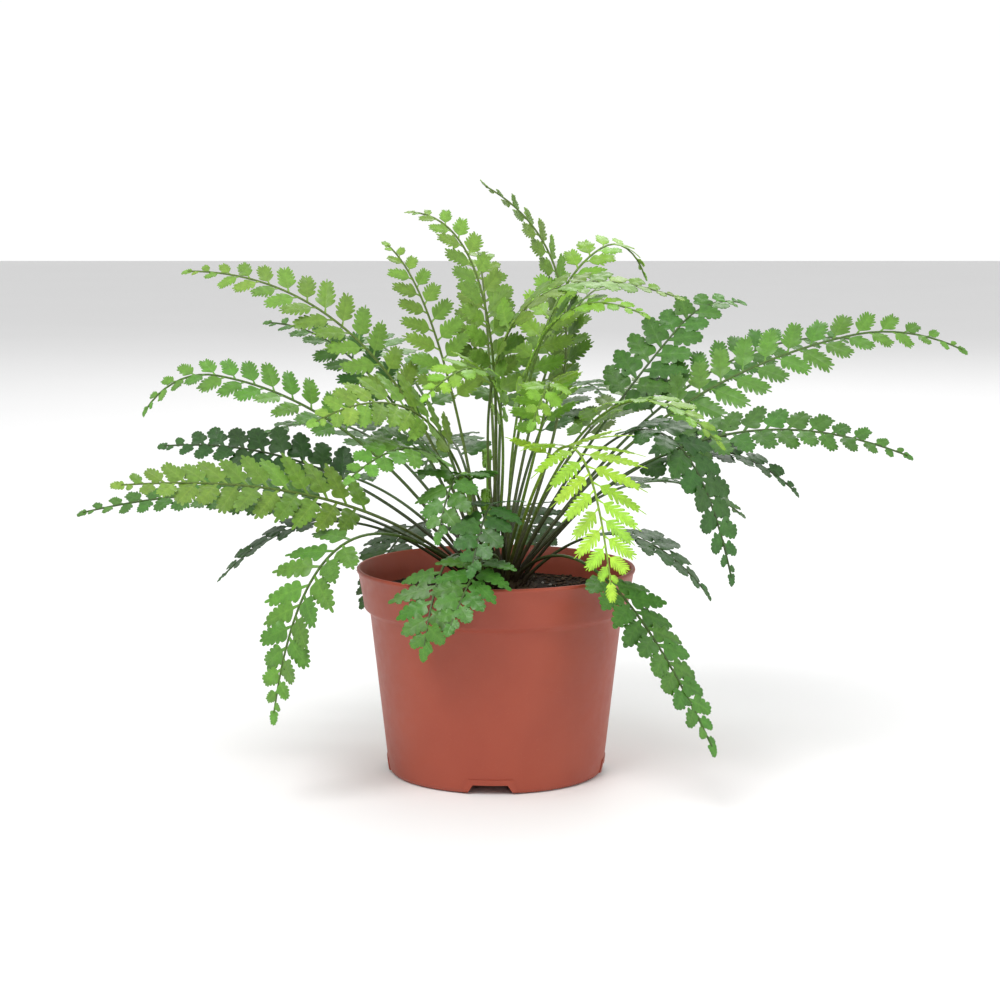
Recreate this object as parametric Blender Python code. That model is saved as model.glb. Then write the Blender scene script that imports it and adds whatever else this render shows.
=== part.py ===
"""A spleenwort fern in a round nursery pot: the pot, the soil, the crown and one solid per frond.

Built in metres with +Z up. The sizes below are in millimetres. The floor is z = 0 and the
origin is under the middle of the whole plant's bounding box.
"""
import math
import random

import bmesh
import bpy
from mathutils import Matrix, Vector
from mathutils.bvhtree import BVHTree

MM = 0.001

# --- pot -------------------------------------------------------------------------------------
POT_SEGMENTS = 56
FOOT_INNER_R = 43.2          # the ring the pot stands on
FOOT_OUTER_R = 45.5
WALL_BASE_R = 46.5           # outside of the wall just above the floor
WALL_TOP_R = 54.4            # outside of the wall just under the rim band
BAND_BASE_R = 56.9
BAND_TOP_R = 59.4
RIM_R = 60.0
BAND_Z = 69.8                # where the wall turns out into the rim band
POT_HEIGHT = 89.0
WALL = 1.1                   # wall thickness
FLOOR_UNDER_Z = 4.3          # underside of the pot's raised floor
FLOOR_TOP_Z = 5.4
CENTRE_HOLE_R = 4.0
DRAIN_HOLE_R = 3.5
DRAIN_RING_R = 30.0
DRAIN_HOLES = 4
NOTCHES = 4                  # water slots through the foot
NOTCH_AZIMUTH = -93.0        # the first notch's direction, degrees
NOTCH_HEIGHT = 3.8
NOTCH_HALF_BOTTOM = 12.3     # half angles, degrees
NOTCH_HALF_TOP = 9.0
SURROUND = 2.4               # the raised surround shows this much wider than the notch, degrees
SURROUND_HEIGHT = 6.2
SURROUND_PROUD = 0.35

# --- soil and crown --------------------------------------------------------------------------
GAP = 0.35                   # clearance between neighbouring solids
SOIL_EDGE_Z = 77.0
SOIL_CENTRE_Z = 79.0
SOIL_LUMP = 0.9
CROWN_R = 18.0
CROWN_TOP_Z = 86.0
CROWN_EDGE_Z = 81.0

# --- fronds ----------------------------------------------------------------------------------
# Each frond is an arc in the upright plane at its azimuth (0 is +X, 90 is +Y): it leaves the
# crown towards a shoulder point and ends at a tip, both given as (reach, height). "swing" is how
# far the tip strays sideways, "roll" turns the blade about its own stalk, "leaflet" is the
# longest leaflet, "bare" the part of the length with no leaflets, and "curl" rolls the tip down.
# azimuth, shoulder, tip, swing, roll, leaflet, pairs, bare, curl
FRONDS = [
    # right
    (35, (60, 160), (130, 212), 0, 30, 20, 9, 0.50, 25),
    (25, (95, 195), (182, 181), 0, 35, 19, 12, 0.42, 0),
    (5, (78, 190), (203, 193), 0, 40, 22, 13, 0.40, 14),
    (-12, (80, 176), (174, 141), 0, 35, 18, 11, 0.45, 0),
    (-35, (85, 215), (116, 95), 0, 10, 20, 9, 0.50, 0),
    (-8, (75, 172), (127, 124), 0, 20, 18, 7, 0.50, 0),
    (-45, (55, 128), (122, 30), 0, 0, 21, 10, 0.38, 0),
    (-22, (55, 128), (94, 84), 0, 0, 20, 6, 0.42, 0),
    # left
    (165, (45, 215), (140, 214), 0, -35, 22, 12, 0.42, 0),
    (150, (55, 190), (118, 190), 0, -30, 19, 9, 0.45, 0),
    (178, (70, 180), (154, 172), 0, -35, 19, 11, 0.45, 28),
    (170, (70, 145), (148, 138), 0, -45, 18, 9, 0.45, 0),
    (189, (75, 138), (175, 116), 0, -30, 17, 12, 0.42, 0),
    (202, (62, 134), (163, 132), 0, -45, 24, 12, 0.34, 0),
    (218, (95, 150), (114, 40), 0, -10, 25, 9, 0.45, 0),
    (195, (72, 135), (118, 90), 0, 0, 18, 7, 0.50, 0),
    # middle
    (222, (24, 185), (97, 158), 0, -45, 23, 10, 0.42, 0),
    (230, (30, 168), (90, 136), 0, -30, 20, 8, 0.42, 0),
    (248, (35, 165), (62, 112), 0, 0, 22, 6, 0.50, 0),
    (272, (40, 150), (70, 100), -12, 0, 20, 6, 0.50, 0),
    (-66, (80, 205), (110, 98), 0, 0, 34, 11, 0.46, 0),
    (-55, (58, 208), (77, 160), -36, 0, 20, 9, 0.52, 0),
    (-40, (55, 200), (113, 150), 4, 0, 20, 9, 0.48, 0),
    (247, (55, 124), (74, 66), 0, 0, 22, 5, 0.58, 0),
    (-90, (50, 120), (80, 78), -18, 0, 21, 6, 0.50, 0),
    # top
    (30, (70, 215), (16, 251), 37, 0, 21, 11, 0.45, 0),
    (135, (32, 205), (68, 225), 0, -20, 20, 9, 0.48, 0),
    (150, (-12, 238), (42, 240), 0, -20, 20, 10, 0.48, 0),
    (45, (20, 240), (98, 226), 0, 20, 19, 11, 0.45, 30),
    (-8, (-25, 240), (77, 205), 0, 15, 21, 12, 0.45, 0),
    (-25, (2, 225), (67, 199), 0, 20, 20, 11, 0.45, 0),
    (232, (-15, 205), (46, 166), 0, -20, 20, 9, 0.48, 0),
    # back
    (70, (70, 185), (150, 150), 0, 0, 21, 10, 0.42, 0),
    (88, (65, 200), (165, 165), 0, 0, 22, 11, 0.42, 0),
    (104, (75, 170), (150, 110), 0, 0, 21, 10, 0.42, 0),
    (119, (70, 200), (168, 175), 0, 0, 21, 11, 0.42, 0),
    (134, (80, 170), (165, 130), 0, 0, 22, 10, 0.42, 0),
    (52, (80, 180), (165, 155), 0, 0, 21, 11, 0.42, 0),
    (80, (60, 135), (120, 70), 0, 0, 20, 8, 0.45, 0),
    (124, (60, 130), (112, 56), 0, 0, 20, 8, 0.45, 0),
    (150, (75, 150), (145, 108), 0, 0, 20, 9, 0.45, 0),
    (36, (75, 145), (140, 100), 0, 0, 20, 9, 0.45, 0),
    (96, (30, 215), (88, 222), 0, 0, 20, 10, 0.45, 0),
    (62, (45, 205), (112, 205), 0, 0, 20, 10, 0.45, 0),
]
# Young fronds still rolled up: azimuth, reach and height of the coil's centre.
CROZIERS = [(263, 36, 122), (245, 32, 128), (100, 24, 132)]

STALK_W = 1.9                # stalk width where it leaves the crown
STALK_TIP_W = 0.8            # and at the tip
STALK_SPANS = 6              # straight spans in the bare part of a stalk
LEAFLET_FILL = 0.86          # leaflet width over the spacing along one side
LEAFLET_WIDEST = 0.45        # where along its length a leaflet is widest
SWEEP_BASE = 24.0            # leaflets lean towards the tip, degrees
SWEEP_TIP = 48.0
RAISE = 10.0                 # and rise above the blade's plane
ARC_SAMPLES = 96
CURL_START = 0.80


def clear_scene():
    for ob in list(bpy.data.objects):
        bpy.data.objects.remove(ob, do_unlink=True)


def material(name, colour, roughness):
    mat = bpy.data.materials.new(name)
    mat.use_nodes = True
    shader = mat.node_tree.nodes["Principled BSDF"]
    shader.inputs["Base Color"].default_value = (*colour, 1.0)
    shader.inputs["Roughness"].default_value = roughness
    shader.inputs["Metallic"].default_value = 0.0
    return mat


def add_object(name, verts, faces, mat, smooth=False):
    """A mesh object from millimetre vertices."""
    mesh = bpy.data.meshes.new(name)
    mesh.from_pydata([Vector(v) * MM for v in verts], [], faces)
    bm = bmesh.new()
    bm.from_mesh(mesh)
    bmesh.ops.recalc_face_normals(bm, faces=bm.faces)
    bm.to_mesh(mesh)
    bm.free()
    mesh.shade_smooth() if smooth else mesh.shade_flat()
    mesh.materials.append(mat)
    ob = bpy.data.objects.new(name, mesh)
    bpy.context.collection.objects.link(ob)
    return ob


def lathe(profile, segments):
    """Vertices and faces of a closed (radius, height) loop turned about Z."""
    verts, faces, n = [], [], len(profile)
    for i in range(segments):
        a = math.tau * i / segments
        verts += [(r * math.cos(a), r * math.sin(a), z) for r, z in profile]
        j = (i + 1) % segments
        for k in range(n):
            m = (k + 1) % n
            faces.append((i * n + k, j * n + k, j * n + m, i * n + m))
    return verts, faces


def wall_radius(z):
    """Outside radius of the pot's wall below the rim band."""
    return WALL_BASE_R + (WALL_TOP_R - WALL_BASE_R) * z / BAND_Z


def sector(inner_r, outer_r, low, high, half_low, half_high, azimuth, steps=8):
    """A curved block: outer_r(z) to inner_r, from low to high, with slanting ends."""
    verts = []
    for i in range(steps + 1):
        u = 2.0 * i / steps - 1.0
        for z, half in ((low, half_low), (high, half_high)):
            a = math.radians(azimuth + u * half)
            for r in (inner_r, outer_r(z)):
                verts.append((r * math.cos(a), r * math.sin(a), z))
    faces = [(0, 1, 3, 2)]
    for i in range(steps):
        a, b = 4 * i, 4 * i + 4
        faces += [(a, b, b + 1, a + 1), (a + 2, a + 3, b + 3, b + 2),
                  (a, a + 2, b + 2, b), (a + 1, b + 1, b + 3, a + 3)]
    last = 4 * steps
    faces.append((last, last + 2, last + 3, last + 1))
    return verts, faces


def boolean(target, tool, operation):
    mod = target.modifiers.new(operation.lower(), "BOOLEAN")
    mod.operation = operation
    mod.solver = "EXACT"
    mod.object = tool
    tool.hide_render = True
    tool.display_type = "WIRE"
    graph = bpy.context.evaluated_depsgraph_get()
    mesh = bpy.data.meshes.new_from_object(target.evaluated_get(graph))
    target.modifiers.remove(mod)
    target.data = mesh
    bpy.data.objects.remove(tool, do_unlink=True)


def build_pot(mat):
    profile = [
        (FOOT_INNER_R, 0), (FOOT_OUTER_R, 0), (WALL_BASE_R - 0.25, 0.6), (WALL_BASE_R + 0.2, 1.8),
        (WALL_TOP_R, BAND_Z), (BAND_BASE_R, BAND_Z + 2.2), (BAND_TOP_R, POT_HEIGHT - 2.0),
        (RIM_R, POT_HEIGHT - 1.3), (RIM_R - 0.1, POT_HEIGHT - 0.4), (RIM_R - 0.8, POT_HEIGHT),
        (RIM_R - 1.7, POT_HEIGHT - 0.6), (BAND_BASE_R - WALL, BAND_Z + 3.0),
        (WALL_TOP_R - WALL, BAND_Z + 0.8), (wall_radius(FLOOR_TOP_Z) - WALL, FLOOR_TOP_Z),
        (CENTRE_HOLE_R, FLOOR_TOP_Z), (CENTRE_HOLE_R, FLOOR_UNDER_Z),
        (FOOT_INNER_R, FLOOR_UNDER_Z),
    ]
    pot = add_object("pot", *lathe(profile, POT_SEGMENTS), mat, smooth=True)
    for i in range(NOTCHES):
        azimuth = NOTCH_AZIMUTH + 360.0 * i / NOTCHES
        pad = sector(WALL_BASE_R - 0.2, lambda z: wall_radius(z) + SURROUND_PROUD, 1.0,
                     SURROUND_HEIGHT, NOTCH_HALF_BOTTOM + SURROUND, NOTCH_HALF_TOP + SURROUND,
                     azimuth)
        boolean(pot, add_object("surround", *pad, mat), "UNION")
        slot = sector(FOOT_INNER_R - 2, lambda z: WALL_BASE_R + 4, -1.0, NOTCH_HEIGHT,
                      NOTCH_HALF_BOTTOM + 0.8, NOTCH_HALF_TOP, azimuth)
        boolean(pot, add_object("slot", *slot, mat), "DIFFERENCE")
    for i in range(DRAIN_HOLES):
        a = math.radians(NOTCH_AZIMUTH + 45.0 + 360.0 * i / DRAIN_HOLES)
        cx, cy = DRAIN_RING_R * math.cos(a), DRAIN_RING_R * math.sin(a)
        hole = [(DRAIN_HOLE_R * math.cos(math.tau * k / 16) + cx,
                 DRAIN_HOLE_R * math.sin(math.tau * k / 16) + cy) for k in range(16)]
        verts = [(x, y, z) for z in (FLOOR_UNDER_Z - 1, FLOOR_TOP_Z + 1) for x, y in hole]
        faces = [tuple(range(16)), tuple(range(16, 32))]
        faces += [(k, (k + 1) % 16, (k + 1) % 16 + 16, k + 16) for k in range(16)]
        boolean(pot, add_object("drain", verts, faces, mat), "DIFFERENCE")
    return pot


def turned_solid(name, rings, segments, mat, lump=lambda ring: 0.0):
    """A closed solid with a flat underside: (radius, height) rings joined from the bottom up."""
    verts, faces = [(0, 0, rings[0][1])], []
    for k, (r, z) in enumerate(rings):
        for i in range(segments):
            a = math.tau * i / segments
            verts.append((r * math.cos(a), r * math.sin(a), z + lump(k)))
    top, apex = 1 + (len(rings) - 1) * segments, len(verts)
    verts.append((0, 0, rings[-1][1]))
    for i in range(segments):
        j = (i + 1) % segments
        faces.append((0, 1 + j, 1 + i))
        for k in range(len(rings) - 1):
            a, b = 1 + k * segments, 1 + (k + 1) * segments
            faces.append((a + i, a + j, b + j, b + i))
        faces.append((top + i, top + j, apex))
    return add_object(name, verts, faces, mat, smooth=True)


def build_soil(mat):
    """The root ball: it fills the pot, with a lumpy top that is level under the crown."""
    rng = random.Random(7)
    bottom = FLOOR_TOP_Z + GAP
    rings = [(wall_radius(bottom) - WALL - 2 * GAP, bottom),
             (WALL_TOP_R - WALL - 2 * GAP, BAND_Z + 0.4),
             (BAND_BASE_R - WALL - 2 * GAP, BAND_Z + 3.6),
             (BAND_BASE_R - WALL - GAP, SOIL_EDGE_Z), (46, SOIL_EDGE_Z + 0.6),
             (36, SOIL_EDGE_Z + 1.2), (26, SOIL_CENTRE_Z - 0.5), (CROWN_R + 1.5, SOIL_CENTRE_Z)]
    lumpy = range(4, len(rings) - 1)
    return turned_solid("potting_soil", rings, 32, mat,
                        lambda k: rng.uniform(-SOIL_LUMP, SOIL_LUMP) if k in lumpy else 0.0)


def crown_height(r):
    """Height of the crown's domed top at a distance from its middle."""
    return CROWN_TOP_Z - (CROWN_TOP_Z - CROWN_EDGE_Z) * (r / CROWN_R) ** 2


def build_crown(mat):
    rings = [(CROWN_R - 0.6, SOIL_CENTRE_Z + GAP)]
    rings += [(r, crown_height(r)) for r in (CROWN_R, 13.5, 9.0, 4.5, 1.5)]
    return turned_solid("crown", rings, 24, mat)


class Spine:
    """A frond's stalk: an arc sampled evenly along its length, with a frame at each point."""

    def __init__(self, spec, seat=(0.0, 0.0), lean=0.0):
        azimuth, shoulder, tip, swing, roll = spec[:5]
        curl = spec[8]
        a = math.radians(azimuth)
        self.out = Vector((math.cos(a), math.sin(a), 0))
        self.across = Vector((-math.sin(a), math.cos(a), 0))
        steep = math.degrees(math.atan2(shoulder[1] - CROWN_TOP_Z, shoulder[0]))
        seat_r = min(CROWN_R - 1.5, max(3.0, 4.0 + 12.0 * (1 - steep / 90.0)) + seat[0])
        b = a + math.radians(seat[1])
        start = Vector((seat_r * math.cos(b), seat_r * math.sin(b), crown_height(seat_r) + GAP))
        mid = self.out * shoulder[0] + self.across * lean + Vector((0, 0, shoulder[1]))
        end = self.out * tip[0] + self.across * swing + Vector((0, 0, tip[1]))
        points = []
        for i in range(ARC_SAMPLES + 1):
            t = i / ARC_SAMPLES
            points.append(start * (1 - t) ** 2 + mid * 2 * t * (1 - t) + end * t * t)
        hinge = int(ARC_SAMPLES * CURL_START)
        for i in range(hinge + 1, ARC_SAMPLES + 1):
            turn = math.radians(curl) * (i - hinge) / (ARC_SAMPLES - hinge)
            spin = Matrix.Rotation(turn, 3, self.across)
            points[i] = points[hinge] + spin @ (points[i] - points[hinge])
        self.lengths = [0.0]
        for p, q in zip(points, points[1:]):
            self.lengths.append(self.lengths[-1] + (q - p).length)
        self.points, self.roll, self.length = points, math.radians(roll), self.lengths[-1]

    def at(self, s):
        """Point and (along, across, up) frame at a fraction s of the length."""
        goal, i = s * self.length, 1
        while i < ARC_SAMPLES and self.lengths[i] < goal:
            i += 1
        span = self.lengths[i] - self.lengths[i - 1]
        u = (goal - self.lengths[i - 1]) / span
        point = self.points[i - 1].lerp(self.points[i], u)
        low, high = max(0, i - 3), min(ARC_SAMPLES, i + 2)
        along = (self.points[high] - self.points[low]).normalized()
        across = (self.across - along * self.across.dot(along)).normalized()
        turn = Matrix.Rotation(self.roll * min(1.0, s / 0.4), 3, along)
        across = turn @ across
        return point, along, across, along.cross(across)


def stalk_stations(pairs, bare):
    """Fractions of the length where the stalk's sections sit; leaflets take every blade span."""
    blade = [bare + (0.985 - bare) * k / (2 * pairs) for k in range(2 * pairs + 1)]
    return [bare * k / STALK_SPANS for k in range(STALK_SPANS)] + blade


def stalk_section(spine, s, grow=0.0):
    """Three corners of the stalk's section: two on the upper face and the keel below."""
    point, along, across, up = spine.at(s)
    w = STALK_W + (STALK_TIP_W - STALK_W) * s ** 0.7
    half = w * 0.5 + grow
    return [point + across * half + up * half * 0.5, point - across * half + up * half * 0.5,
            point - up * half * 1.1]


def stalk_mesh(spine, stations, grow=0.0, end=1.0):
    verts = [v for s in stations for v in stalk_section(spine, s, grow)]
    if not grow:
        for k in range(3):
            v = verts[k]
            verts[k] = Vector((v.x, v.y, crown_height(math.hypot(v.x, v.y)) + GAP))
    verts.append(spine.at(end)[0])
    faces = [(0, 1, 2)]
    for i in range(len(stations) - 1):
        a, b = 3 * i, 3 * i + 3
        faces += [(a, b, b + 1, a + 1), (a + 1, b + 1, b + 2, a + 2), (a + 2, b + 2, b, a)]
    last, tip = 3 * (len(stations) - 1), len(verts) - 1
    faces += [(last, tip, last + 1), (last + 1, tip, last + 2), (last + 2, tip, last)]
    return verts, faces


def leaflet_length(longest, x):
    """Leaflet length at a fraction x of the blade: widest a quarter of the way out."""
    return longest * (0.68 + 0.32 * min(1.0, x / 0.25)) * max(0.0, 1.0 - x) ** 0.6 + 1.5


def leaflet_outline(spine, s0, s1, side, length, width, sweep, rise):
    """Shoulder points and tip of a leaflet that grows from the stalk between s0 and s1."""
    point, along, across, up = spine.at((s0 + s1) / 2)
    lean, lift = math.radians(sweep), math.radians(rise)
    reach = (across * side * math.cos(lift) + up * math.sin(lift)) * math.cos(lean)
    reach = reach + along * math.sin(lean)
    face = (up * math.cos(lift) - across * side * math.sin(lift)).normalized()
    breadth = face.cross(reach).normalized()
    if breadth.dot(along) < 0:
        breadth.negate()
    middle = point + reach * length * LEAFLET_WIDEST
    return (middle - breadth * width / 2, middle + breadth * width / 2, point + reach * length,
            breadth, reach, face)


# A leaflet's faces over its seven points: two upper root corners, two keel corners, the rear and
# front shoulders and the tip.
LEAFLET_FACES = [(0, 4, 6), (0, 6, 1), (1, 6, 5), (2, 6, 4), (2, 3, 6), (3, 5, 6), (0, 2, 4),
                 (1, 5, 3)]


def leaflet_probe(root, outline, clearance):
    """A slab a little larger than the leaflet, used to test for room."""
    rear, front, tip, breadth, reach, face = outline
    rear, front = rear - breadth * clearance, front + breadth * clearance
    tip = tip + reach * clearance
    thick = face * (clearance + 0.1)
    middle = sum(root, Vector()) / len(root)
    half_root = (root[0] - root[3]).length / 2 + clearance
    base = [middle - breadth * half_root, middle + breadth * half_root]
    ring = [base[0], base[1], front, tip, rear]
    near_root = face * (clearance + 0.9)
    verts = [v + (near_root if k < 2 else thick) for k, v in enumerate(ring)]
    verts += [v - (near_root if k < 2 else thick) for k, v in enumerate(ring)]
    faces = [(0, 1, 2), (0, 2, 4), (2, 3, 4), (5, 7, 6), (5, 9, 7), (7, 9, 8)]
    faces += [(k, k + 5, (k + 1) % 5 + 5, (k + 1) % 5) for k in range(5)]
    return verts, faces


def tree(verts, faces):
    return BVHTree.FromPolygons([tuple(v) for v in verts], faces)


def bounds(verts):
    return [(min(v[k] for v in verts), max(v[k] for v in verts)) for k in range(3)]


def clashes(verts, faces, others):
    """Whether a mesh touches any of the (bounds, tree) pairs."""
    box, probe = bounds(verts), None
    for other_box, other in others:
        if all(box[k][0] <= other_box[k][1] and other_box[k][0] <= box[k][1] for k in range(3)):
            probe = probe or tree(verts, faces)
            if probe.overlap(other):
                return True
    return False


def seat_stalks(specs, obstacles, crown):
    """Spines for all fronds, each moved on the crown until its stalk is clear of the others."""
    tries = [(r, a, lean) for a in (0, 14, -14, 28, -28, 44, -44, 70, -70, 110, -110)
             for r in (0, 2, -2, 4, 7) for lean in (0, 3, -3, 6, -6, 10, -10, 15, -15, 20, -20)]
    tries.sort(key=lambda t: abs(t[0]) + abs(t[1]) / 10 + abs(t[2]) / 2)
    spines, placed = [], list(obstacles)
    for spec in specs:
        stations = stalk_stations(spec[6], spec[7])
        for reach, turn, lean in tries:
            spine = Spine(spec, (reach, turn), lean)
            probe = stalk_mesh(spine, stations[1:], GAP + 0.15)
            foot = stalk_mesh(spine, [0.0, 0.04, stations[1]], GAP + 0.15, stations[1] + 0.01)
            if not clashes(*probe, placed + [crown]) and not clashes(*foot, placed):
                break
        else:
            raise RuntimeError(f"no room for the stalk at azimuth {spec[0]}")
        verts, faces = stalk_mesh(spine, stations)
        placed.append((bounds(verts), tree(verts, faces)))
        spines.append(spine)
    return spines, placed


def grow_leaflets(index, spec, spine, others):
    """Leaflets that fit between the other solids: (station, side, outline) for each."""
    longest, pairs, bare = spec[5], spec[6], spec[7]
    stations = stalk_stations(pairs, bare)
    rng = random.Random(100 + index)
    pitch = spine.length * (0.985 - bare) / pairs
    leaflets = []
    for k in range(2 * pairs):
        n = STALK_SPANS + k
        x = (k + 0.5) / (2 * pairs)
        side = 1 if k % 2 else -1
        length = leaflet_length(longest, x) * rng.uniform(0.93, 1.07)
        sweep = SWEEP_BASE + (SWEEP_TIP - SWEEP_BASE) * x + rng.uniform(-4, 4)
        rise = RAISE + rng.uniform(-7, 7)
        width = min(pitch * LEAFLET_FILL, length * 0.6)
        root = stalk_section(spine, stations[n]) + stalk_section(spine, stations[n + 1])
        for scale, tilt in ((c, t) for c in (1.0, 0.8, 0.62, 0.45, 0.3)
                            for t in (0, 14, -14, 28, -28, 42, -42)):
            outline = leaflet_outline(spine, stations[n], stations[n + 1], side, length * scale,
                                      width * max(scale, 0.6), sweep, rise + tilt)
            upper = (root[0], root[3]) if side > 0 else (root[1], root[4])
            skin = [*upper, root[2], root[5], *outline[:3]]
            probe = leaflet_probe(root, outline, GAP)
            if not clashes(*probe, others) and not clashes(skin, LEAFLET_FACES, others):
                leaflets.append((n, side, outline))
                break
    return leaflets


def frond_mesh(spine, stations, leaflets):
    """The stalk with every leaflet drawn out of the side face of its span: one closed skin."""
    verts, faces = stalk_mesh(spine, stations)
    for n, side, outline in leaflets:
        a, b = 3 * n, 3 * n + 3
        upper = (a, b) if side > 0 else (a + 1, b + 1)
        faces.remove((a + 2, b + 2, b, a) if side > 0 else (a + 1, b + 1, b + 2, a + 2))
        points = [*upper, a + 2, b + 2, len(verts), len(verts) + 1, len(verts) + 2]
        verts += outline[:3]
        faces += [tuple(points[i] for i in face) for face in LEAFLET_FACES]
    return verts, faces


def crozier_spine(azimuth, reach, height):
    """A stalk that rises to a coil lying in its own upright plane."""
    a = math.radians(azimuth)
    out, up = Vector((math.cos(a), math.sin(a), 0)), Vector((0, 0, 1))
    centre = out * reach + up * height
    coil = []
    for i in range(15):
        turn = math.radians(180 - 25 * i)
        r = 5.2 - 0.19 * i
        coil.append(centre + out * r * math.cos(turn) + up * r * math.sin(turn))
    foot = out * 11 + up * (crown_height(11) + GAP)
    bend = coil[0] - up * 24
    stem = [foot * (1 - t) ** 2 + bend * 2 * t * (1 - t) + coil[0] * t * t
            for t in (0, 0.2, 0.4, 0.6, 0.8)]
    return stem + coil, Vector((-math.sin(a), math.cos(a), 0))


def crozier_mesh(azimuth, reach, height):
    path, across = crozier_spine(azimuth, reach, height)
    verts, faces = [], []
    for i, p in enumerate(path):
        along = (path[min(i + 1, len(path) - 1)] - path[max(i - 1, 0)]).normalized()
        up = along.cross(across)
        half = (1.1 if i < 6 else 0.95 - 0.035 * (i - 6))
        ring = [p + across * half * 1.3 + up * half, p - across * half * 1.3 + up * half,
                p - across * half * 1.3 - up * half, p + across * half * 1.3 - up * half]
        if i == 0:
            ring = [Vector((v.x, v.y, crown_height(math.hypot(v.x, v.y)) + GAP)) for v in ring]
        verts += ring
    for i in range(len(path) - 1):
        a, b = 4 * i, 4 * i + 4
        faces += [(a + k, b + k, b + (k + 1) % 4, a + (k + 1) % 4) for k in range(4)]
    faces += [(0, 1, 2, 3), tuple(range(len(verts) - 4, len(verts)))]
    return verts, faces


def object_tree(ob):
    verts = [v.co / MM for v in ob.data.vertices]
    faces = [tuple(p.vertices) for p in ob.data.polygons]
    return bounds(verts), tree(verts, faces)


def build():
    clear_scene()
    terracotta = material("pot_plastic", (0.32, 0.055, 0.026), 0.48)
    peat = material("soil", (0.022, 0.013, 0.008), 0.95)
    bark = material("crown_scales", (0.05, 0.035, 0.018), 0.85)
    leaf = material("leaf", (0.075, 0.21, 0.028), 0.38)
    young = material("young_leaf", (0.21, 0.36, 0.035), 0.42)

    pot, soil, crown = build_pot(terracotta), build_soil(peat), build_crown(bark)
    pot, soil, crown = (object_tree(ob) for ob in (pot, soil, crown))
    coils = []
    for i, coil in enumerate(CROZIERS):
        verts, faces = crozier_mesh(*coil)
        add_object(f"crozier_{i + 1:02d}", verts, faces, young)
        coils.append((bounds(verts), tree(verts, faces)))
    spines, placed = seat_stalks(FRONDS, [pot, soil] + coils, crown)
    first = len(placed) - len(spines)
    for i, (spec, spine) in enumerate(zip(FRONDS, spines)):
        others = [item for k, item in enumerate(placed) if k != first + i]
        leaflets = grow_leaflets(i, spec, spine, others + [crown])
        verts, faces = frond_mesh(spine, stalk_stations(spec[6], spec[7]), leaflets)
        placed[first + i] = (bounds(verts), tree(verts, faces))
        add_object(f"frond_{i + 1:02d}", verts, faces, leaf)

    corners = [v.co for ob in bpy.data.objects for v in ob.data.vertices]
    shift = Vector([-(min(c[k] for c in corners) + max(c[k] for c in corners)) / 2
                    for k in range(2)] + [0.0])
    for ob in bpy.data.objects:
        ob.data.transform(Matrix.Translation(shift))


build()
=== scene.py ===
"""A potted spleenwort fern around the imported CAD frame: one visible piece per CAD solid.

Shapes are worked out in millimetres from the pot's axis, as in the part's own source, and are
placed in the frame at the end. Each frond finds its own stalk and leaflets among the corners of
its CAD solid, so the visible leaves lie where the solid's leaves are.
"""
import math
import random

import bmesh
import bpy
import numpy as np
from mathutils import Matrix, Vector, noise
from mathutils.kdtree import KDTree


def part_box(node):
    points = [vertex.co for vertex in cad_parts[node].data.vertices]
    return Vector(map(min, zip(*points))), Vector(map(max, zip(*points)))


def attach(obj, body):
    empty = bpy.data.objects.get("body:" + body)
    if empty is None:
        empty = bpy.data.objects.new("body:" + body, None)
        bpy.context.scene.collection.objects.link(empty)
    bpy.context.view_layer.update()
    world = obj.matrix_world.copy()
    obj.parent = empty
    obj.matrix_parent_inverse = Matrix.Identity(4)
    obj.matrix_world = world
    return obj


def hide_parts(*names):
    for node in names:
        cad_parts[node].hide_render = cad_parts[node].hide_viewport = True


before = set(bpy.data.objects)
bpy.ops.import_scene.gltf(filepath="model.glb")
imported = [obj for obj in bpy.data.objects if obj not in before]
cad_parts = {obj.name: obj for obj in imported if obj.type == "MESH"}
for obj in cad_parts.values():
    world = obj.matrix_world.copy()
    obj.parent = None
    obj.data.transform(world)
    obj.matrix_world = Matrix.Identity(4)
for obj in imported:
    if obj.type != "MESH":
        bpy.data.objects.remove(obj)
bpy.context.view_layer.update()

MM = 0.001
POT_LOW, POT_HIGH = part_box("pot")
AXIS = Vector(((POT_LOW[0] + POT_HIGH[0]) / 2, (POT_LOW[1] + POT_HIGH[1]) / 2, 0.0))

# --- pot, soil and crown, as in the part -------------------------------------------------------
POT_SEGMENTS = 168
FOOT_INNER_R, FOOT_OUTER_R = 43.2, 45.5
WALL_BASE_R, WALL_TOP_R = 46.5, 54.4
BAND_BASE_R, BAND_TOP_R, RIM_R = 56.9, 59.4, 60.0
BAND_Z, POT_HEIGHT, WALL = 69.8, 89.0, 1.1
FLOOR_UNDER_Z, FLOOR_TOP_Z = 4.3, 5.4
CENTRE_HOLE_R, DRAIN_HOLE_R, DRAIN_RING_R, DRAIN_HOLES = 4.0, 3.5, 30.0, 4
NOTCHES, NOTCH_AZIMUTH, NOTCH_HEIGHT = 4, -93.0, 3.8
NOTCH_HALF_BOTTOM, NOTCH_HALF_TOP = 12.3, 9.0
SURROUND, SURROUND_HEIGHT, SURROUND_PROUD = 2.4, 6.2, 0.35
GAP = 0.35
SOIL_EDGE_Z, SOIL_CENTRE_Z = 77.0, 79.0
CROWN_R, CROWN_TOP_Z, CROWN_EDGE_Z = 18.0, 86.0, 81.0

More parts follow.
